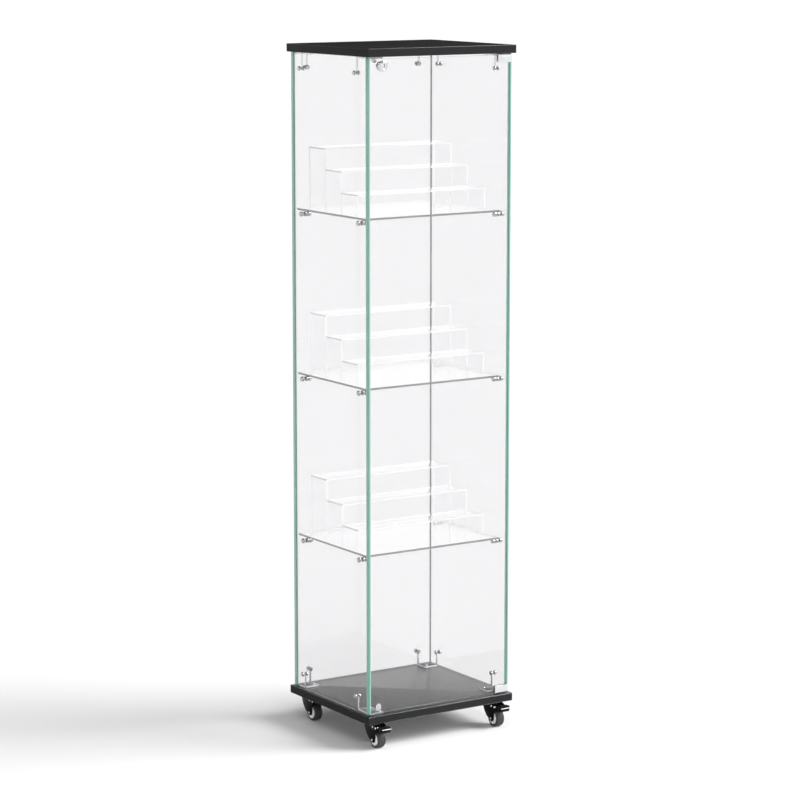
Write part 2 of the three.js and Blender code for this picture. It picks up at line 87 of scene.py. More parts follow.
# ------------------------------------------------------------------ sizes and colours
def length(name, description, millimetres):
    return bpy.props.FloatProperty(name=name, description=description, unit="LENGTH",
                                   default=millimetres * MM, min=0.0, precision=5)


def colour(name, description, value):
    return bpy.props.FloatVectorProperty(name=name, description=description, size=3,
                                         subtype="COLOR", default=value, min=0.0, max=1.0)


class DisplayCaseSizes(bpy.types.PropertyGroup):
    """Small sizes that the frame does not give."""
    arris: length("Glass Arris", "Width of the polished bevel on every glass edge", 0.4)
    board_edge: length("Board Edge", "Rounding of the laminated panels' edges", 0.9)
    strap: length("Strap Thickness", "Thickness of a bracket's upright strap", 2.4)
    strap_width: length("Strap Width", "Width of a bracket's upright strap", 5.0)
    knob: length("Knob Radius", "Radius of the round bolt heads on the brackets", 5.5)
    low_bolt: length("Low Bolt", "Height of the base brackets' bolts above the base", 37.0)
    high_bolt: length("High Bolt", "Drop of the top brackets' bolts below the top", 39.0)
    stud: length("Stud Radius", "Radius of the shelf studs", 6.0)
    sheet: length("Riser Sheet", "Thickness of the clear riser sheet", 3.0)
    riser_bend: length("Riser Bend", "Outer radius of the risers' bends", 4.0)


class DisplayCaseColours(bpy.types.PropertyGroup):
    """Colours of the finishes."""
    board: colour("Board", "Black laminate's faces", (0.012, 0.012, 0.0125))
    board_band: colour("Board Band", "Matte bands round the panels", (0.023, 0.023, 0.024))
    glass_edge: colour("Glass Edge", "Green of cut edges that face the light",
                       (0.22, 0.44, 0.36))
    # Painted shade: a darker copy of the cut edges' green, for the edges that face away from the
    # light.
    glass_deep: colour("Deep Glass Edge", "Cut edges that face away", (0.11, 0.135, 0.128))
    glass_level: colour("Level Glass Edge", "Edges that stand on a board",
                        (0.10, 0.11, 0.108))
    glass_shelf: colour("Shelf Edge", "Grey green of the shelves' edges", (0.20, 0.24, 0.225))
    # Painted dark reflection: the arris is a darker copy of the edge green, for the dark that a
    # polished arris mirrors.
    glass_line: colour("Glass Line", "Darker line of the polished arris", (0.10, 0.16, 0.14))
    acrylic_edge: colour("Acrylic Edge", "Bright cut edge of the risers", (0.97, 0.97, 0.98))
    # Painted reflection: the clear bends are tinted grey for the dark ceiling they mirror.
    acrylic_bend: colour("Acrylic Bend", "Grey of the risers' bends", (0.30, 0.31, 0.31))
    chrome: colour("Chrome", "Bright plating", (0.72, 0.73, 0.74))
    castor: colour("Castor", "Black coated steel", (0.004, 0.004, 0.0045))
    hub: colour("Hub", "Moulded wheel centre", (0.95, 0.95, 0.95))
    tyre: colour("Tyre", "Dark wheel tread", (0.05, 0.05, 0.052))


# ------------------------------------------------------------------ surfaces
def place(axis, u, v, w):
    """Points from coordinates across an axis (u, v) and along it (w)."""
    order = {"x": (w, u, v), "y": (u, w, v), "z": (u, v, w)}[axis]
    return np.stack(np.broadcast_arrays(*order), -1)


def shell(rings, loop=False):
    """A closed surface through rings of points. Ring i joins ring i + 1 by quads, and each end
    is closed by one flat face; with loop the last ring joins the first instead. The faces are
    turned over when the volume they enclose, a sixth of the triple products, is negative."""
    count, around = rings.shape[:2]
    i = np.arange(count if loop else count - 1)[:, None]
    j = np.arange(around)[None, :]
    following = (i + 1) % count
    beside = (j + 1) % around
    quads = np.stack([i * around + j, i * around + beside, following * around + beside,
                      following * around + j], -1).reshape(-1, 4)
    caps = [] if loop else [np.arange(around)[::-1], (count - 1) * around + np.arange(around)]
    points = rings.reshape(-1, 3)
    triangles = [quads[:, [0, 1, 2]], quads[:, [0, 2, 3]]]
    for cap in caps:
        first = np.full(around - 2, cap[0])
        triangles.append(np.stack([first, cap[1:-1], cap[2:]], -1))
    a, b, c = np.moveaxis(points[np.vstack(triangles)], 1, 0)
    if np.einsum("ij,ij->", a - points[0], np.cross(b - points[0], c - points[0])) < 0:
        quads = quads[:, ::-1]
        caps = [cap[::-1] for cap in caps]
    return points, quads.tolist() + [cap.tolist() for cap in caps]


def mm(*pairs):
    """Pairs of millimetres, in metres."""
    return np.array(pairs, float) * MM


def quadratic(a, b, c, t):
    """The curve from a to c with control point b, at the shares t."""
    return (1 - t) ** 2 * a + 2 * t * (1 - t) * b + t ** 2 * c


def rounded(corners, radii, closed=True, steps=5):
    """A line through corners, each cut back along both its sides by its radius and bridged by a
    quadratic curve that has the corner as its control point."""
    corners = np.asarray(corners, float)
    before = np.roll(corners, 1, 0) - corners
    after = np.roll(corners, -1, 0) - corners
    back = np.linalg.norm(before, axis=1)
    on = np.linalg.norm(after, axis=1)
    cut = np.minimum(radii, 0.49 * np.minimum(back, on))
    start = (corners + before * (cut / back)[:, None])[:, None]
    end = (corners + after * (cut / on)[:, None])[:, None]
    t = np.linspace(0, 1, steps)[None, :, None]
    curve = quadratic(start, corners[:, None], end, t)
    if closed:
        return curve.reshape(-1, 2)
    return np.vstack([corners[:1], curve[1:-1].reshape(-1, 2), corners[-1:]])


def rectangle(u0, u1, v0, v1, radius, steps=5):
    return rounded([(u0, v0), (u1, v0), (u1, v1), (u0, v1)], radius, steps=steps)


def stadium(centre, radius, foot, direction=1, steps=17):
    """A strip from the level foot up to a half circle about the centre: the arc's angle runs
    through 180 degrees, and the two straight sides drop to the foot."""
    turn = np.linspace(0, math.pi, steps)
    arc = np.stack([centre[0] + radius * np.cos(turn),
                    centre[1] + direction * radius * np.sin(turn)], -1)
    return np.vstack([arc, [(centre[0] - radius, foot), (centre[0] + radius, foot)]])


def profiled(outline, axis, levels, insets):
    """An outline across an axis carried through levels, moved inwards at each level by its
    inset along the outline's own normals."""
    following = np.roll(outline, -1, 0)
    area = np.sum(outline[:, 0] * following[:, 1] - outline[:, 1] * following[:, 0])
    outline = outline if area > 0 else outline[::-1]
    tangent = np.roll(outline, -1, 0) - np.roll(outline, 1, 0)
    tangent /= np.linalg.norm(tangent, axis=1)[:, None]
    normal = np.stack([tangent[:, 1], -tangent[:, 0]], -1)
    across = outline[None] - np.asarray(insets)[:, None, None] * normal[None]
    return shell(place(axis, across[..., 0], across[..., 1], np.asarray(levels)[:, None]))


def slab(outline, axis, low, high, bevel, steps=3):
    """An outline carried from low to high. Near both ends it shrinks on a quarter circle:
    inset = bevel (1 - sin), rise = bevel (1 - cos)."""
    low, high = min(low, high), max(low, high)
    turn = np.linspace(0, math.pi / 2, steps)
    inset = bevel * (1 - np.sin(turn))
    rise = bevel * (1 - np.cos(turn))
    return profiled(outline, axis, np.concatenate([low + rise, (high - rise)[::-1]]),
                    np.concatenate([inset, inset[::-1]]))


def bent_sheet(line, thickness, low, high, edge):
    """A bent sheet from its middle line in X and Z: at each point of the line stands a
    rectangle, half the thickness to either side along the line's normal, from low to high in
    Y, with its four corners rounded."""
    tangent = np.gradient(line, axis=0)
    tangent /= np.linalg.norm(tangent, axis=1)[:, None]
    normal = np.stack([-tangent[:, 1], tangent[:, 0]], -1)
    section = rectangle(-thickness / 2, thickness / 2, low, high, edge, steps=4)
    across = line[:, None] + section[None, :, :1] * normal[:, None]
    depth = np.broadcast_to(section[None, :, 1], across.shape[:2])
    return shell(np.stack([across[..., 0], depth, across[..., 1]], -1))


def lathe(profile, centre, axis, loop=False, segments=48, flats=None, carve=None):
    """A profile of (level, radius) turned round an axis through centre. Where flats is set the
    circle becomes a hexagon: radius times cos 30 over cos of the angle from the flat's middle.
    carve moves the levels as a function of radius, angle and level."""
    profile = np.asarray(profile, float)
    angle = np.linspace(0, 2 * math.pi, segments, endpoint=False)[None, :]
    radius = np.repeat(profile[:, 1:2], segments, 1)
    if flats is not None:
        sixth = math.pi / 3
        hexagon = math.cos(sixth / 2) / np.cos(angle % sixth - sixth / 2)
        radius = np.where(np.asarray(flats, bool)[:, None], radius * hexagon, radius)
    level = np.repeat(profile[:, 0:1], segments, 1)
    if carve is not None:
        level = carve(radius, angle, level)
    return shell(place(axis, centre[0] + radius * np.cos(angle),
                       centre[1] + radius * np.sin(angle), level), loop)


def button(base, out, height, radius, centre, axis, dome=0.3, segments=48):
    """A turned head that stands on the level base: straight sides, a rounded shoulder and a
    face that rises by dome times its height towards a small flat."""
    t = np.linspace(0, math.pi / 2, 7)
    shoulder = height * dome
    rim = np.stack([height - shoulder + shoulder * np.sin(t),
                    radius - shoulder * 1.4 * (1 - np.cos(t))], -1)
    line = np.vstack([[(0.0, radius * 0.93), (height * 0.08, radius)], rim,
                      [(height, radius * 0.12)]])
    line[:, 0] = base + out * line[:, 0]
    return lathe(line, centre, axis, segments=segments)


def socket_screw(base, out, height, radius, centre, axis):
    """A turned screw head with a hexagonal recess: the profile climbs the side, crosses the
    face and drops into the recess, whose rings are hexagons."""
    line = [(0, radius * 0.95), (height * 0.6, radius), (height, radius * 0.88),
            (height, radius * 0.52), (height * 0.92, radius * 0.46), (height * 0.3, radius * 0.45)]
    line = np.array([(base + out * level, r) for level, r in line])
    return lathe(line, centre, axis, segments=48, flats=(0, 0, 0, 1, 1, 1))


# ------------------------------------------------------------------ pieces
def piece(name, parts, body, node):
    """One object from (shell, finish) pairs. It rides on a body and replaces a node."""
    points, faces, marks, finishes, offset = [], [], [], [], 0
    for (vertices, polygons), finish in parts:
        if finish not in finishes:
            finishes.append(finish)
        points.append(vertices)
        faces += [[index + offset for index in polygon] for polygon in polygons]
        marks += [finishes.index(finish)] * len(polygons)
        offset += len(vertices)
    mesh = bpy.data.meshes.new(name)
    mesh.from_pydata(np.vstack(points).tolist(), [], faces)
    for finish in finishes:
        mesh.materials.append(FINISHES[finish])
    mesh.polygons.foreach_set("material_index", marks)
    return mount(name, mesh, body, node)


def new_object(name, data):
    """An object of the data, linked to the scene."""
    made = bpy.data.objects.new(name, data)
    bpy.context.scene.collection.objects.link(made)
    return made


def mount(name, mesh, body, node, sharp=38):
    """An object of the mesh, smooth up to the sharp angle in degrees."""
    mesh.shade_smooth()
    mesh.set_sharp_from_angle(angle=math.radians(sharp))
    mesh.update()
    made = new_object(name, mesh)
    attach(made, body)
    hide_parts(node)
    return made


def merged_copy(node, name):
    """A node's surface with its loose triangles joined and its flat faces made whole."""
    work = bmesh.new()
    work.from_mesh(frame["nodes"][node].data)
    bmesh.ops.remove_doubles(work, verts=work.verts, dist=0.01 * MM)
    bmesh.ops.dissolve_limit(work, angle_limit=math.radians(1), verts=work.verts,
                             edges=work.edges)
    work.verts.index_update()
    points = [vertex.co[:] for vertex in work.verts]
    faces = [[vertex.index for vertex in face.verts] for face in work.faces]
    work.free()
    mesh = bpy.data.meshes.new(name)
    mesh.from_pydata(points, [], faces)
    return mesh


def finish_by_normal(mesh, finishes, choose):
    """Adds finishes and chooses every polygon's material from its normal's X, Y and Z."""
    for finish in finishes:
        mesh.materials.append(FINISHES[finish])
    mesh.update()
    normals = np.zeros(len(mesh.polygons) * 3, np.float32)
    mesh.polygons.foreach_get("normal", normals)
    marks = choose(*normals.reshape(-1, 3).T)
    mesh.polygons.foreach_set("material_index", np.asarray(marks).astype(np.int32))


def pane(node, body, thin, finishes):
    """A glass sheet with its holes. Its finishes are the clear face, the edge towards the light,
    the edge away from it, the level edge and the arris, which a live bevel gives every rim. On
    the right and back walls the edge away from the light is a darker copy of the green: painted
    shade. On the walls and the door the arris is a darker green still: a painted dark reflection."""
    name = f"{node}_pane"
    mesh = merged_copy(node, name)
    facing = 0.7

    def choose(x, y, z):
        across = np.abs({"x": x, "y": y, "z": z}[thin])
        away = np.maximum(x, y)
        return np.select([across > facing, np.abs(z) > facing, away > facing], [0, 3, 2], 1)

    finish_by_normal(mesh, finishes, choose)
    made = mount(name, mesh, body, node, sharp=20)
    arris = made.modifiers.new("arris", "BEVEL")
    arris.width = bpy.context.scene.display_case_sizes.arris
    arris.segments = 1
    arris.limit_method = "ANGLE"
    arris.angle_limit = math.radians(50)
    arris.material = len(finishes) - 1
    return made


# ------------------------------------------------------------------ materials
def new_material(name):
    """An empty material, its node tree and the socket that takes its surface."""
    made = bpy.data.materials.new(name)
    made.use_nodes = True
    made.node_tree.nodes.clear()
    output = made.node_tree.nodes.new("ShaderNodeOutputMaterial")
    return made, made.node_tree, output.inputs["Surface"]


def add_node(tree, kind, inputs=None, output=0, operation=None):
    """Adds a node and returns one of its outputs. An input, by name or number, gets a constant
    on its own socket, or a link where the value is another node's output."""
    made = tree.nodes.new(kind)
    if operation is not None:
        made.operation = operation
    for name, value in (inputs or {}).items():
        if isinstance(value, bpy.types.NodeSocket):
            tree.links.new(value, made.inputs[name])
        else:
            made.inputs[name].default_value = value
    return made.outputs[output]


def calculate(tree, operation, *numbers):
    """The result of a math node, whose numbers are constants or outputs."""
    return add_node(tree, "ShaderNodeMath", dict(enumerate(numbers)), operation=operation)


def grain(tree, scale, detail=4.0, stretch=(1.0, 1.0, 1.0)):
    """Noise on the object's own coordinates."""
    where = add_node(tree, "ShaderNodeTexCoord", output="Object")
    where = add_node(tree, "ShaderNodeMapping", {"Vector": where, "Scale": stretch})
    return add_node(tree, "ShaderNodeTexNoise", {
        "Vector": where, "Scale": scale, "Detail": detail}, "Fac")


def spread(tree, value, low, high):
    """Maps noise, most of which lies between 0.3 and 0.7, to a range from low to high."""
    return add_node(tree, "ShaderNodeMapRange", {
        "Value": value, "From Min": 0.3, "From Max": 0.7, "To Min": low, "To Max": high})


def blend_colours(tree, value, first, second):
    """A colour from first to second as the value goes from 0 to 1."""
    mix = tree.nodes.new("ShaderNodeMix")
    mix.data_type = "RGBA"
    mix.inputs["A"].default_value = (*first, 1)
    mix.inputs["B"].default_value = (*second, 1)
    tree.links.new(value, mix.inputs["Factor"])
    return mix.outputs["Result"]


def solid_material(name, tint, roughness, fine, bump, metallic=0.0, specular=0.5, vary=0.2):
    """A grained finish: noise varies its colour, its roughness and its fine relief. bump is the
    relief's strength and its depth in millimetres."""
    made, tree, surface = new_material(name)
    patches = grain(tree, 9.0, 3.0)
    darker = [channel * (1 - vary) for channel in tint]
    lighter = [min(1.0, channel * (1 + vary)) for channel in tint]
    texture = grain(tree, fine)
    relief = add_node(tree, "ShaderNodeBump", {
        "Height": texture, "Strength": bump[0], "Distance": bump[1] * MM})
    shader = add_node(tree, "ShaderNodeBsdfPrincipled", {
        "Base Color": blend_colours(tree, patches, darker, lighter),
        "Roughness": spread(tree, texture, *roughness), "Normal": relief,
        "Metallic": metallic, "Specular IOR Level": specular})
    tree.links.new(shader, surface)
    return made


def clear_material(name, tint, straight, haze, rim=None):
    """A sheet's clear face: what is behind shows through a light tint, and the surface mirrors
    by straight + (1 - straight) times the fifth power of how far it turns from the eye, the
    same from both of its sides. Faint uneven haze keeps it from being perfectly empty. rim is
    (axis, middle, reach, colour): along X or Y, further from the middle than that reach, the
    sheet shows its cut edge's colour, as thick glass does close to an edge."""
    made, tree, surface = new_material(name)
    through = add_node(tree, "ShaderNodeBsdfTransparent", {"Color": (*tint, 1)})
    mirror = add_node(tree, "ShaderNodeBsdfPrincipled", {
        "Base Color": (1, 1, 1, 1), "Metallic": 1.0,
        "Roughness": spread(tree, grain(tree, 14.0), 0.01, 0.04)})
    facing = add_node(tree, "ShaderNodeLayerWeight", {"Blend": 0.5}, "Facing")
    steep = calculate(tree, "POWER", facing, 5.0)
    uneven = spread(tree, grain(tree, 5.0), straight, straight + haze)
    share = calculate(tree, "MULTIPLY_ADD", steep, 1 - straight, uneven)
    face = add_node(tree, "ShaderNodeMixShader", {"Fac": share, 1: through, 2: mirror})
    if rim is not None:
        axis, middle, reach, edge = rim
        where = add_node(tree, "ShaderNodeTexCoord", output="Object")
        along = add_node(tree, "ShaderNodeSeparateXYZ", {"Vector": where}, axis)
        distance = calculate(tree, "ABSOLUTE", calculate(tree, "SUBTRACT", along, middle))
        outside = calculate(tree, "GREATER_THAN", distance, reach)
        glow = add_node(tree, "ShaderNodeBsdfPrincipled", {
            "Base Color": (*edge, 1), "Roughness": 0.12})
        face = add_node(tree, "ShaderNodeMixShader", {"Fac": outside, 1: face, 2: glow})
    tree.links.new(face, surface)
    return made


def cut_material(name, tint, opacity, roughness):
    """A sheet's cut edge: coloured, glossy and a little see-through, with fine grinding marks."""
    made, tree, surface = new_material(name)
    darker = [channel * 0.85 for channel in tint]
    texture = grain(tree, 60.0, 3.0, (1.0, 1.0, 0.15))
    shader = add_node(tree, "ShaderNodeBsdfPrincipled", {
        "Base Color": blend_colours(tree, texture, darker, tint), "Alpha": opacity,
        "Roughness": spread(tree, texture, roughness, roughness * 2)})
    tree.links.new(shader, surface)
    return made


FINISHES = {}


def make_finishes():
    """Fills FINISHES, whose keys are the names that pieces give their finishes by."""
    tone = bpy.context.scene.display_case_colours
    door_rim = "X", 0.0, SIDE_OUT - GLOW, tone.glass_edge
    side_rim = "Y", (BACK_IN + SIDE_FRONT) / 2, (BACK_IN - SIDE_FRONT) / 2 - GLOW, tone.glass_edge
    FINISHES.update({
        "board_top": solid_material(
            "board_top", tone.board_band, (0.42, 0.55), 900, (0.10, 0.05), specular=0.0, vary=0.1),
        "board_band": solid_material(
            "board_band", tone.board_band, (0.42, 0.55), 900, (0.10, 0.05), specular=0.03,
            vary=0.1),
        "board_arris": solid_material(
            "board_arris", tone.board_band, (0.18, 0.26), 900, (0.08, 0.05), specular=0.9,
            vary=0.1),
        "board_base": solid_material(
            "board_base", tone.board, (0.22, 0.34), 900, (0.08, 0.05), specular=0.5, vary=0.1),
        "glass": clear_material("clear_glass_face", GLASS_TINT, 0.04, 0.006),
        "door_glass": clear_material("clear_door_face", GLASS_TINT, 0.04, 0.006, door_rim),
        "side_glass": clear_material("clear_side_face", GLASS_TINT, 0.04, 0.006, side_rim),
        "shelf_glass": clear_material("clear_shelf_face", SHELF_TINT, 0.05, 0.006),
        "shelf_back": cut_material("pale_glass_edge", (0.75, 0.78, 0.77), 0.45, 0.12),
        "glass_edge": cut_material("green_glass_edge", tone.glass_edge, 0.95, 0.12),
        # Painted shade: the darker green of the edges that face away from the light.
        "glass_deep": cut_material("deep_glass_edge", tone.glass_deep, 0.9, 0.12),
        "glass_level": cut_material("level_glass_edge", tone.glass_level, 0.9, 0.12),
        "glass_shelf": cut_material("shelf_glass_edge", tone.glass_shelf, 0.95, 0.12),
        # Painted dark reflection on the arris of the walls and the door.
        "glass_line": cut_material("glass_arris", tone.glass_line, 0.9, 0.1),
        "acrylic": clear_material("clear_acrylic_face", ACRYLIC_TINT, 0.03, 0.006),
        "acrylic_edge": cut_material("bright_acrylic_edge", tone.acrylic_edge, 0.85, 0.15),
        # Painted reflection: grey on the bends, standing in for the dark they mirror.
        "acrylic_bend": cut_material("grey_acrylic_bend", tone.acrylic_bend, 0.4, 0.1),
        "chrome": solid_material(
            "bright_chrome", tone.chrome, (0.05, 0.13), 500, (0.02, 0.02), metallic=1.0, vary=0.04),
        # Painted shade: the studs and knobs are chrome, and this darker copy of it stands in for
        # the dark they mirror.
        "steel": solid_material(
            "dark_polished_steel", (0.42, 0.425, 0.43), (0.07, 0.14), 500, (0.02, 0.02),
            metallic=1.0, vary=0.06),
        "satin": solid_material(
            "satin_rim", (0.93, 0.93, 0.94), (0.35, 0.48), 500, (0.04, 0.03), metallic=0.5,
            vary=0.03),
        "pad": solid_material(
            "dark_satin_pad", (0.10, 0.10, 0.11), (0.28, 0.42), 700, (0.1, 0.05), metallic=0.7),
        "gasket": solid_material(
            "clear_soft_gasket", (0.55, 0.56, 0.57), (0.35, 0.5), 600, (0.1, 0.05)),
        "castor": solid_material(
            "castor_black", tone.castor, (0.25, 0.38), 450, (0.12, 0.08), specular=0.1),
        "hub": solid_material("hub_white", tone.hub, (0.25, 0.38), 350, (0.08, 0.06), vary=0.04),
        "tyre": solid_material(
            "tyre_dark", tone.tyre, (0.45, 0.62), 500, (0.3, 0.12), specular=0.2, vary=0.25),
    })


# ------------------------------------------------------------------ operators
class DISPLAYCASE_OT_stage(bpy.types.Operator):
    """Floor, soft lights, camera and finishes"""
    bl_idname = "displaycase.stage"
    bl_label = "Stage"

    azimuth = -33.139
    pitch = 9.422
    distance = 7.164675
    focal = 130.41
    target = Vector((-0.002294, 0.0115, 0.819507))

    def camera(self):
        data = bpy.data.cameras.new("camera")
        data.lens = self.focal
        data.sensor_width = 36.0
        data.clip_end = 500.0
        turn, tilt = math.radians(self.azimuth), math.radians(self.pitch)
        way = Vector((math.sin(turn) * math.cos(tilt), -math.cos(turn) * math.cos(tilt),
                      math.sin(tilt)))
        made = new_object("camera", data)
        made.location = self.target + way * self.distance
        made.rotation_euler = (-way).to_track_quat("-Z", "Y").to_euler()
        bpy.context.scene.camera = made

    def sun(self, name, toward, power, softness):
        data = bpy.data.lights.new(name, "SUN")
        data.energy = power
        data.angle = math.radians(softness)
        made = new_object(name, data)
        made.rotation_euler = Vector(toward).to_track_quat("-Z", "Y").to_euler()

    def surroundings(self):
        """A white room with a dark ceiling and one dark opening on the camera's side, so that
        bright metal has something dark to mirror. Each is a smooth step: the ceiling over the
        height of the direction, the opening over its nearness to a fixed direction."""
        world = bpy.data.worlds.new("white_room")
        world.use_nodes = True
        tree = world.node_tree
        where = add_node(tree, "ShaderNodeTexCoord", output="Generated")
        darks = []
        for direction, start, end in (((-0.55, -0.83, 0.10), 0.87, 0.98),
                                      ((0.0, 0.0, 1.0), 0.26, 0.52)):
            near = add_node(tree, "ShaderNodeVectorMath", {0: where, 1: direction}, "Value",
                            "DOT_PRODUCT")
            dark = add_node(tree, "ShaderNodeMapRange", {
                "Value": near, "From Min": start, "From Max": end})
            dark.node.interpolation_type = "SMOOTHSTEP"
            darks.append(dark)
        either = calculate(tree, "MAXIMUM", *darks)
        shade = blend_colours(tree, either, (1.0, 1.0, 1.0), (0.035, 0.035, 0.038))
        tree.links.new(shade, tree.nodes["Background"].inputs["Color"])
        tree.nodes["Background"].inputs["Strength"].default_value = 1.28
        bpy.context.scene.world = world

    def floor(self):
        reach = 150.0
        mesh = bpy.data.meshes.new("floor")
        mesh.from_pydata([(-reach, -reach, 0), (reach, -reach, 0), (reach, reach, 0),
                          (-reach, reach, 0)], [], [(0, 1, 2, 3)])
        mesh.materials.append(solid_material("pale_floor", (0.84, 0.84, 0.845), (0.7, 0.85), 3,
                                             (0.02, 0.1), specular=0.2, vary=0.01))
        made = new_object("floor", mesh)

    def execute(self, context):
        make_finishes()
        self.camera()
        self.surroundings()
        self.floor()
        self.sun("right_light", (-0.84, 0.55, -0.84), 3.8, 32)
        self.sun("high_light", (0.2, 0.1, -1.0), 0.6, 50)
        self.sun("low_light", (0.25, 0.9, -0.35), 0.85, 30)
        context.scene.view_settings.view_transform = "Standard"
        context.scene.cycles.transparent_max_bounces = 48
        return {"FINISHED"}


class DISPLAYCASE_OT_panels(bpy.types.Operator):
    """Base and top boards with their edge bands"""
    bl_idname = "displaycase.panels"
    bl_label = "Panels"

    def execute(self, context):
        edge = context.scene.display_case_sizes.board_edge
        groove = 0.12 * MM
        for node, finish in (("base_panel", "board_base"), ("top_panel", "board_top")):
            low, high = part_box(node)
            outline = rectangle(low.x, high.x, low.y, high.y, 1.6 * MM)
            turn = np.linspace(0, math.pi / 2, 5)
            rise = np.append(edge * (1 - np.cos(turn)), edge * np.array([1.15, 1.3, 1.45]))
            inset = np.append(edge * (1 - np.sin(turn)), [0.0, groove, 0.0])
            levels = np.concatenate([low.z + rise, (high.z - rise)[::-1]])
            made = profiled(outline, "z", levels, np.concatenate([inset, inset[::-1]]))
            board = piece(node.replace("panel", "board"), [(made, finish)], "cabinet",
                          node)
            finish_by_normal(board.data, ("board_band", "board_arris"), self.choose)
        return {"FINISHED"}

    def choose(self, x, y, z):
        """The edge bands stand upright and the arris leans."""
        upright, leaning = np.abs(z) < 0.2, np.abs(z) < 0.97
        return np.select([upright, leaning], [1, 2], 0)


class DISPLAYCASE_OT_glass(bpy.types.Operator):
    """Three fixed walls, the door and three shelves, each with its arrises"""
    bl_idname = "displaycase.glass"
    bl_label = "Glass"

    def execute(self, context):
        # The walls' and door's arris takes the darker green: a painted dark reflection.
        level = ("glass_level", "glass_line")
        lit = ("glass_edge", "glass_edge", *level)
        # On the right and back walls, the edges that face back and right take the darker green:
        # painted shade.
        plain = ("glass", "glass_edge", "glass_deep", *level)
        shelf = ("shelf_glass", "glass_shelf", "shelf_back", "glass_shelf", "glass_shelf")
        pane("left_side_glass", "cabinet", "x", ("side_glass", *lit))
        pane("right_side_glass", "cabinet", "x", plain)
        pane("back_glass", "cabinet", "y", plain)
        pane("door_glass", "door", "y", ("door_glass", *lit))
        for floor in FLOORS:
            pane(f"{floor}_shelf", "cabinet", "z", shelf)
        return {"FINISHED"}


class DISPLAYCASE_OT_supports(bpy.types.Operator):
    """Twelve chrome studs that carry the shelves"""
    bl_idname = "displaycase.supports"
    bl_label = "Shelf Supports"

    def stud(self, node, radius):
        """A turned knob: two barrels with a waist between them, its face domed; outside the
        glass a washer and a domed cap."""
        low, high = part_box(node)
        side = 1 if high.x > 0 else -1
        centre = ((low.y + high.y) / 2, (low.z + high.z) / 2)
        tip = low.x if side > 0 else high.x
        inner = side * (SIDE_IN - GLASS_GAP)
        reach = abs(inner - tip)
        line = [(0.0, radius * 0.94), (0.04, radius), (0.30, radius), (0.34, radius * 0.92),
                (0.36, radius * 0.66), (0.44, radius * 0.66), (0.46, radius * 0.92),
                (0.50, radius), (0.90, radius), (0.96, radius * 0.90), (1.0, radius * 0.66)]
        line = rounded([(inner - side * share * reach, r) for share, r in line], 0.4 * MM,
                       closed=False, steps=4)
        outer = side * (SIDE_OUT + GLASS_GAP)
        washer, cap = 0.9 * MM, 5.4 * MM
        return [
            # The stud and its cap take the darker copy of the chrome: painted shade.
            (lathe(line, centre, "x"), "steel"),
            (button(outer + side * washer, side, cap, radius, centre, "x"), "steel"),
            (button(outer, side, washer, radius * 1.06, centre, "x"), "gasket"),
        ]

    def execute(self, context):
        radius = context.scene.display_case_sizes.stud
        for floor in FLOORS:
            for corner in CORNERS:
                node = f"{floor}_shelf_support_{corner}"
                piece(f"{floor}_stud_{corner}", self.stud(node, radius), "cabinet",
                      node)
        return {"FINISHED"}


class DISPLAYCASE_OT_risers(bpy.types.Operator):
    """Nine bent clear steps"""
    bl_idname = "displaycase.risers"
    bl_label = "Risers"

    def execute(self, context):
        sizes = context.scene.display_case_sizes
        half, bend = sizes.sheet / 2, sizes.riser_bend
        for floor in FLOORS:
            for step in STEPS:
                node = f"{floor}_riser_{step}"
                low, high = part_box(node)
                corners = [(low.x + half, low.z), (low.x + half, high.z - half),
                           (high.x - half, high.z - half), (high.x - half, low.z)]
                line = rounded(corners, bend - half, closed=False, steps=9)
                sheet = bent_sheet(line, sizes.sheet, low.y, high.y, 0.3 * MM)
                made = piece(f"{floor}_step_{step}", [(sheet, "acrylic")], "cabinet",
                             node)
                # The bends take a grey tint that stands in for the dark they mirror: painted
                # reflection.
                finish_by_normal(made.data, ("acrylic_edge", "acrylic_bend"), self.choose)
        return {"FINISHED"}

    def choose(self, x, y, z):
        """Cut edges face along Y, and a bend faces between X and Z."""
        cut, bend = np.abs(y) > 0.3, np.minimum(np.abs(x), np.abs(z)) > 0.2
        return np.select([cut, bend], [1, 2], 0)


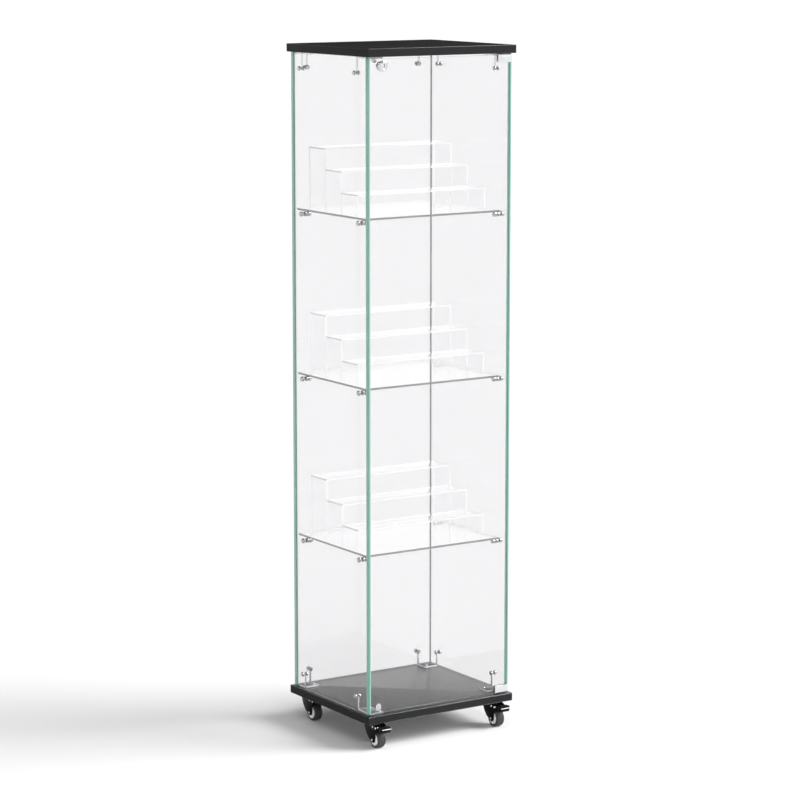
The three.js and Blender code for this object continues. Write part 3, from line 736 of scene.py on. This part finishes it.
class DISPLAYCASE_OT_brackets(bpy.types.Operator):
    """Eight chrome corner brackets with their straps, knobs, screws and door stops"""
    bl_idname = "displaycase.brackets"
    bl_label = "Corner Brackets"

    plate_size = 39 * MM
    plate_top = 4.4 * MM
    screw_inset = 9 * MM
    knob_height = 3.4 * MM
    washer = 0.8 * MM
    foot = 0.6 * MM

    def strap(self, sizes, across, side, inner, outer, along, face, up):
        """An upright strap with a round end at the bolt, and turned knobs inside and outside
        the glass. across is the axis through the glass."""
        bolt = face + (sizes.low_bolt if up > 0 else -sizes.high_bolt)
        outline = stadium((along, bolt), sizes.strap_width / 2, face + up * self.foot, up)
        near = side * inner - side * GLASS_GAP
        room = near - side * sizes.strap
        beyond = side * outer + side * GLASS_GAP
        centre = (along, bolt)
        return [
            (slab(outline, across, near, room, 0.5 * MM), "chrome"),
            # Both knobs take the darker copy of the chrome: painted shade.
            (button(room, -side, self.knob_height, sizes.knob, centre, across), "steel"),
            (button(beyond, side, self.washer, sizes.knob * 1.05, centre, across), "gasket"),
            (button(beyond + side * self.washer, side, self.knob_height, sizes.knob, centre,
                    across), "steel"),
        ]

    def plate(self, y0, y1, face, up, side, back):
        """The foot: a bright rim, a dark pad let into it, and a screw at the inner corner."""
        outer = side * (SIDE_IN - GLASS_GAP)
        inner = outer - side * self.plate_size
        left, right = sorted((outer, inner))
        rim = rectangle(left, right, y0, y1, 3 * MM)
        border = 1.2 * MM
        pad = rectangle(left + border, right - border, y0 + border, y1 - border, 2 * MM)
        top = face + up * self.plate_top
        screw = (inner + side * self.screw_inset,
                 y0 + self.screw_inset if back else y1 - self.screw_inset)
        return [
            (slab(rim, "z", face + up * FIT, top, 0.5 * MM), "satin"),
            (slab(pad, "z", top - up * 0.5 * MM, top + up * 0.25 * MM, 0.2 * MM), "pad"),
            (socket_screw(top, up, 1.9 * MM, 4 * MM, screw, "z"), "chrome"),
        ]

    def stop(self, low, face, up, tab_x, height):
        """The door's stop: an upright oval tab with a soft round bumper towards the glass."""
        radius, thickness = 7 * MM, 2.4 * MM
        centre = (tab_x, face + up * (height - radius))
        outline = stadium(centre, radius, face + up * self.foot, up)
        front = low.y + 1.0 * MM
        bumper_end = DOOR_IN + 2 * FIT
        return [
            (slab(outline, "y", front, front + thickness, 0.6 * MM), "chrome"),
            (button(front, -1, front - bumper_end, 4 * MM, centre, "y"), "gasket"),
            (button(front + thickness, 1, 1.2 * MM, 4.6 * MM, centre, "y"), "chrome"),
        ]

    def execute(self, context):
        sizes = context.scene.display_case_sizes
        # Across and up from the panel's face, for the two brackets that the door closes on.
        stops = {"bottom": (-174 * MM, 26 * MM), "top": (-185 * MM, 14.5 * MM)}
        middle = sizes.strap_width / 2
        for where, face, up in (("bottom", DECK, 1), ("top", CEILING, -1)):
            for corner in CORNERS:
                node = f"{where}_bracket_{corner}"
                low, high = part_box(node)
                side = 1 if corner.endswith("right") else -1
                back = corner.startswith("back")
                rear = BACK_IN - GLASS_GAP if back else high.y - sizes.knob + middle
                front = rear - self.plate_size if back else low.y
                parts = self.plate(front, rear, face, up, side, back)
                along = BACK_IN - self.plate_size + middle if back else high.y - sizes.knob
                parts += self.strap(sizes, "x", side, SIDE_IN, SIDE_OUT, along, face, up)
                if back:
                    along = side * (SIDE_IN - self.plate_size + middle)
                    parts += self.strap(sizes, "y", 1, BACK_IN, BACK_OUT, along, face, up)
                if corner == "front_left":
                    parts += self.stop(low, face, up, *stops[where])
                piece(f"{where}_corner_{corner}", parts, "cabinet", node)
        return {"FINISHED"}


class DISPLAYCASE_OT_clamps(bpy.types.Operator):
    """The two pivot clamps at the door's right-hand corners"""
    bl_idname = "displaycase.clamps"
    bl_label = "Door Clamps"

    web_height = 3 * MM

    def execute(self, context):
        pivot = JOINTS["door_swing"]["pos_m"]
        for end, up in (("bottom", -1), ("top", 1)):
            node = f"door_clamp_{end}"
            low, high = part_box(node)
            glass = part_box("door_glass")[1 if up > 0 else 0].z
            web = glass + up * self.web_height
            leaf = high.z if up < 0 else low.z
            outline = rectangle(low.x, high.x, min(web, leaf), max(web, leaf), 2.5 * MM)
            cap = rectangle(low.x, high.x, low.y, high.y, 1.2 * MM)
            parts = [
                (slab(outline, "y", low.y, DOOR_OUT - FIT, 0.6 * MM), "chrome"),
                (slab(outline, "y", DOOR_IN + FIT, high.y, 0.6 * MM), "chrome"),
                (slab(cap, "z", glass + up * FIT, web, 0.5 * MM), "chrome"),
                (button(web, up, 0.8 * MM, 5 * MM, pivot[:2], "z"), "gasket"),
            ]
            for share in (0.27, 0.73):
                centre = (low.x + share * (high.x - low.x), (web + leaf) / 2)
                screw = socket_screw(high.y, 1, 1.2 * MM, 3 * MM, centre, "y")
                parts.append((screw, "chrome"))
            piece(f"door_pivot_{end}", parts, "door", node)
        return {"FINISHED"}


class DISPLAYCASE_OT_lock(bpy.types.Operator):
    """The cam lock: body, nut, keyed plug and cam"""
    bl_idname = "displaycase.lock"
    bl_label = "Cam Lock"

    def execute(self, context):
        joint = JOINTS["lock_turn"]["pos_m"]
        centre = (joint[0], joint[2])
        low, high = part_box("lock_body")
        face, end = low.y, high.y
        outer = DOOR_OUT - FIT
        flange, barrel, bore = 13 * MM, 8 * MM, 6.3 * MM
        thread_turns, thread_depth = 7, 0.3 * MM
        threads = np.linspace(0, 1, 41)
        wave = (1 + np.cos(threads * 2 * thread_turns * math.pi)) / 2
        thread = np.stack([DOOR_IN + 4.3 * MM + threads * (end - DOOR_IN - 5 * MM),
                           barrel - thread_depth * wave], -1)
        profile = rounded([
            (face + 0.6 * MM, bore), (face, bore + 0.8 * MM), (face, flange - 2.6 * MM),
            (face + 0.8 * MM, flange - 1.8 * MM), (face + 2.8 * MM, flange - 1.8 * MM),
            (face + 3.0 * MM, flange - 0.4 * MM), (face + 3.6 * MM, flange),
            (outer - 1.4 * MM, flange), (outer, flange - 0.8 * MM), (outer, barrel)],
            0.4 * MM, closed=False, steps=4)
        profile = np.vstack([profile, thread, [(end, barrel - 0.6 * MM), (end, bore)]])
        nut = [(0.0, 10 * MM), (0.4 * MM, 11.4 * MM), (3.2 * MM, 11.4 * MM), (3.6 * MM, 10 * MM),
               (3.6 * MM, barrel), (0.0, barrel)]
        nut = [(DOOR_IN + FIT + level, radius) for level, radius in nut]
        piece("lock_shell", [
            (lathe(profile, centre, "y", loop=True, segments=64), "chrome"),
            (lathe(nut, centre, "y", loop=True, flats=(0, 1, 1, 0, 0, 0)), "chrome"),
        ], "door", "lock_body")
        self.plug(centre)
        return {"FINISHED"}

    def plug(self, centre):
        """The turning plug: a disc on rings and spokes, pushed in over a narrow upright slot by
        a smooth step in both directions."""
        low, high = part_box("lock_cam")
        radius = 6.0 * MM
        front = low.y

        def keyway(ring, angle, level):
            across = np.abs(ring * np.cos(angle)) / (0.9 * MM)
            height = np.abs(ring * np.sin(angle)) / (3.9 * MM)
            slot = np.clip((1.25 - across) * 4, 0, 1) * np.clip((1.1 - height) * 10, 0, 1)
            return level + np.where(level < front + 1 * MM, slot * 3.2 * MM, 0)

        rings = np.linspace(0.03, 0.93, 26)[:, None] * radius
        disc = np.hstack([np.full_like(rings, front), rings])
        profile = np.vstack([disc, [(front + 0.5 * MM, radius), (high.y, radius)]])
        arm_reach, tip_radius, heel_radius = 16.5 * MM, 4.5 * MM, 6.5 * MM
        arm_thickness = 2.5 * MM
        turn = np.linspace(-math.pi / 2, math.pi / 2, 19)
        arc = np.stack([np.cos(turn), np.sin(turn)], -1)
        tip = (centre[0] + arm_reach - tip_radius, centre[1]) + tip_radius * arc
        heel = centre - heel_radius * arc
        arm = np.vstack([tip, heel])
        piece("lock_plug", [
            (lathe(profile, centre, "y", segments=96, carve=keyway), "chrome"),
            (slab(arm, "y", high.y - arm_thickness, high.y, 0.3 * MM), "chrome"),
            (socket_screw(high.y, 1, 2.0 * MM, 4 * MM, centre, "y"), "chrome"),
        ], "lock_cam", "lock_cam")


class DISPLAYCASE_OT_castors(bpy.types.Operator):
    """Castor plates, forks with their axles and rivets, wheels and brake pedals"""
    bl_idname = "displaycase.castors"
    bl_label = "Castors"

    plate_half = 23 * MM
    fork_half = 15 * MM
    fork_wall = 2.5 * MM
    wheel_half = 11 * MM
    pedal_half = 13.5 * MM
    neck_half = 8 * MM
    pivot = (-34.0, 53.0)    # pedal pin behind the swivel axis and above the floor, millimetres

    def plate(self, corner, swivel):
        node = f"castor_plate_{corner}"
        low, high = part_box(node)
        half = self.plate_half
        outline = rectangle(swivel[0] - half, swivel[0] + half, swivel[1] - half,
                            swivel[1] + half, 5 * MM)
        fork_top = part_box(f"castor_fork_{corner}")[1].z
        pin = [(low.z, 6.4 * MM), (low.z + 0.4 * MM, 7 * MM), (low.z + 1.9 * MM, 7 * MM),
               (low.z + 2.0 * MM, 5 * MM), (high.z - 1.0 * MM, 5 * MM)]
        piece(f"swivel_plate_{corner}", [
            (slab(outline, "z", fork_top + FIT, high.z, 0.5 * MM), "castor"),
            (lathe(pin, swivel, "z"), "castor"),
        ], "cabinet", node)

    def outline(self, swivel_y, axle, top):
        """A cheek's side view, (y, z): broad under the plate, drawn in behind the wheel by one
        quadratic curve, round about the axle, and up the front by another."""
        lug = 8 * MM
        t = np.linspace(0, 1, 13)[:, None]

        def curve(*points):
            return quadratic(*(mm(*points) + (swivel_y, 0)), t)

        height = top / MM
        rear = curve((18, height - 8), (15, 38), (1, 24))
        turn = np.linspace(-0.9, -math.pi, 17)
        eye = np.stack([axle[0] + lug * np.cos(turn), axle[1] + lug * np.sin(turn)], -1)
        front = curve((-29, 35.5), (-31, 44), (-38, 48))
        brow = curve((-38, height - 7), (-30, height), (-18, height))
        crown = [(swivel_y + 15 * MM, top), (swivel_y + 17.4 * MM, top - 1.0 * MM)]
        return np.vstack([rear, eye, front, brow, crown])

    def fork(self, corner, swivel, axle, braked):
        node = f"castor_fork_{corner}"
        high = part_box(node)[1]
        x, half, wall = swivel[0], self.fork_half, self.fork_wall
        side_view = self.outline(swivel[1], axle, high.z)
        parts = []
        for side in (-1, 1):
            outer = x + side * half
            parts.append((slab(side_view, "x", outer - side * wall, outer, 0.7 * MM), "castor"))
            head = outer + side * 0.1 * MM
            nut = mm((0, 4.6), (0.2, 5), (1.4, 5), (1.8, 4.4), (1.8, 2.0)) * (side, 1)
            parts.append((lathe(nut + (head, 0), axle, "x", flats=(0, 1, 1, 0, 0)), "castor"))
            # A small white button on the axle's end: a painted glint on the black nut.
            parts.append((button(head + side * 1.7 * MM, side, 0.7 * MM, 2.4 * MM, axle, "x",
                                 segments=24), "hub"))
            for rivet in mm((-33.5, 53.0), (-20.0, 53.5)) + (swivel[1], 0):
                parts.append((button(outer - side * 0.2 * MM, side, 1.4 * MM, 2.3 * MM, rivet,
                                     "x", segments=24), "hub"))
        inner = half - wall + 0.4 * MM
        crown = rectangle(x - inner, x + inner, swivel[1] - 21.6 * MM, swivel[1] + 17.6 * MM,
                          1.5 * MM)
        parts.append((slab(crown, "z", high.z - 9 * MM, high.z, 0.6 * MM), "castor"))
        axle_rod = [(x - half, 3 * MM), (x + half, 3 * MM)]
        parts.append((lathe(axle_rod, axle, "x"), "chrome"))
        if braked:
            pin = [(x - half, 1.6 * MM), (x + half, 1.6 * MM)]
            centre = mm(self.pivot)[0] + (swivel[1], 0)
            parts.append((lathe(pin, centre, "x", segments=24), "chrome"))
        piece(f"swivel_fork_{corner}", parts, f"castor_{corner}", node)

    def wheel(self, corner, x, axle):
        """The hub is a closed profile round its bore whose faces sink between five spokes; the
        tyre is a closed profile with round shoulders and two fine grooves."""
        half = self.wheel_half
        bore, rim, steps = 3.3 * MM, 15.5 * MM, 20

        def spokes(radius, angle, level):
            band = np.clip((radius - 6.5 * MM) / MM, 0, 1) * np.clip((13 * MM - radius) / MM, 0, 1)
            gap = np.clip(0.5 - 1.6 * np.cos(5 * angle), 0, 1)
            outward = np.sign(level - x)
            return level - outward * band * gap * 2.2 * MM

        across = np.linspace(bore + 0.3 * MM, rim - 0.5 * MM, steps)
        left = np.stack([np.full(steps, x - half), across], -1)
        right = np.stack([np.full(steps, x + half), across[::-1]], -1)
        hub = np.vstack([left, [(x - half + 0.5 * MM, rim), (x + half - 0.5 * MM, rim)], right,
                         [(x + half - 0.3 * MM, bore), (x - half + 0.3 * MM, bore)]])
        piece(f"wheel_centre_{corner}",
              [(lathe(hub, axle, "x", loop=True, segments=80, carve=spokes), "hub")],
              f"wheel_{corner}", f"castor_hub_{corner}")
        radius, shoulder, inside = 21.5 * MM, 3.5 * MM, rim + FIT
        turn = np.linspace(0, math.pi / 2, 7)
        rise = np.stack([-half + shoulder * (1 - np.cos(turn)),
                         radius - shoulder * (1 - np.sin(turn))], -1)
        grooves = [(middle + shift * MM, radius - depth * MM)
                   for middle in (-4 * MM, 4 * MM)
                   for shift, depth in ((-0.5, 0), (-0.25, 0.4), (0.25, 0.4), (0.5, 0))]
        fall = rise[::-1] * (-1, 1)
        tyre = np.vstack([[(-half, inside)], rise, grooves, fall, [(half, inside)]])
        tyre[:, 0] += x
        piece(f"wheel_tyre_{corner}",
              [(lathe(tyre, axle, "x", loop=True, segments=96), "tyre")],
              f"wheel_{corner}", f"castor_tyre_{corner}")

    def pedal(self, corner, swivel):
        """A curved wing on a pin: its side view is carried across the pedal's width, with a
        pale strip along the front, a painted highlight on the front edge, and three ridges for the
        foot."""
        node = f"brake_pedal_{corner}"
        x, y = swivel
        pivot = self.pivot[1]
        half, neck_half = self.pedal_half, self.neck_half
        wing = mm((-43, pivot + 5.0), (-50, pivot + 5.8), (-57, pivot + 6), (-61, pivot + 3),
                  (-60.4, pivot - 1), (-57, pivot - 9), (-50, pivot - 7.8), (-43, pivot - 5))
        wing = rounded(wing + (y, 0), 1.2 * MM)
        neck = mm((-29, pivot + 2.2), (-38, pivot + 4.2), (-44, pivot + 5), (-44, pivot - 4.8),
                  (-37.5, pivot - 3.6), (-29, pivot - 1.4))
        neck = rounded(neck + (y, 0), 0.6 * MM)
        shoe = rectangle(y - 37.5 * MM, y - 33.2 * MM, (pivot - 12.2) * MM, (pivot - 1) * MM,
                         0.6 * MM)
        # Painted highlight: a pale strip along the pedal's front edge.
        strip = rectangle(x - half + FIT, x + half - FIT, (pivot + 0.2) * MM,
                          (pivot + 1.8) * MM, 0.6 * MM)
        parts = [
            (slab(wing, "x", x - half, x + half, 1.0 * MM), "castor"),
            (slab(neck, "x", x - neck_half, x + neck_half, 0.5 * MM), "castor"),
            (slab(shoe, "x", x - neck_half, x + neck_half, 0.5 * MM), "castor"),
            (slab(strip, "y", y - 61.6 * MM, y - 59.5 * MM, 0.2 * MM), "hub"),
        ]
        ridge_half = 0.6
        for reach in (-49, -52, -55):
            ridge = rectangle(x - 10 * MM, x + 10 * MM, y + (reach - ridge_half) * MM,
                              y + (reach + ridge_half) * MM, 0.5 * MM)
            ridge = slab(ridge, "z", (pivot + 5) * MM, (pivot + 6.7) * MM, 0.3 * MM)
            parts.append((ridge, "castor"))
        piece(f"foot_brake_{corner}", parts, f"pedal_{corner}", node)

    def execute(self, context):
        for corner in CORNERS:
            swivel = JOINTS[f"swivel_{corner}"]["pos_m"][:2]
            roll = JOINTS[f"roll_{corner}"]["pos_m"]
            braked = corner.startswith("front")
            self.plate(corner, swivel)
            self.fork(corner, swivel, roll[1:], braked)
            self.wheel(corner, roll[0], roll[1:])
            if braked:
                self.pedal(corner, swivel)
        return {"FINISHED"}


class DISPLAYCASE_PT_panel(bpy.types.Panel):
    """The sizes and colours, and a button for every stage of the build"""
    bl_label = "Display Case"
    bl_idname = "DISPLAYCASE_PT_panel"
    bl_space_type = "VIEW_3D"
    bl_region_type = "UI"
    bl_category = "Display Case"

    def draw(self, context):
        for group in (context.scene.display_case_sizes, context.scene.display_case_colours):
            box = self.layout.box()
            for name in group.__annotations__:
                box.prop(group, name)
        for operator in OPERATORS:
            self.layout.operator(operator.bl_idname)


OPERATORS = (DISPLAYCASE_OT_stage, DISPLAYCASE_OT_panels, DISPLAYCASE_OT_glass,
             DISPLAYCASE_OT_supports, DISPLAYCASE_OT_risers, DISPLAYCASE_OT_brackets,
             DISPLAYCASE_OT_clamps, DISPLAYCASE_OT_lock, DISPLAYCASE_OT_castors)
CLASSES = (DisplayCaseSizes, DisplayCaseColours, *OPERATORS, DISPLAYCASE_PT_panel)


def register():
    for item in CLASSES:
        bpy.utils.register_class(item)
    bpy.types.Scene.display_case_sizes = bpy.props.PointerProperty(type=DisplayCaseSizes)
    bpy.types.Scene.display_case_colours = bpy.props.PointerProperty(type=DisplayCaseColours)


def unregister():
    del bpy.types.Scene.display_case_colours
    del bpy.types.Scene.display_case_sizes
    for item in reversed(CLASSES):
        bpy.utils.unregister_class(item)


def main():
    register()
    for operator in OPERATORS:
        group, name = operator.bl_idname.split(".")
        getattr(getattr(bpy.ops, group), name)()


if __name__ == "__main__":
    main()
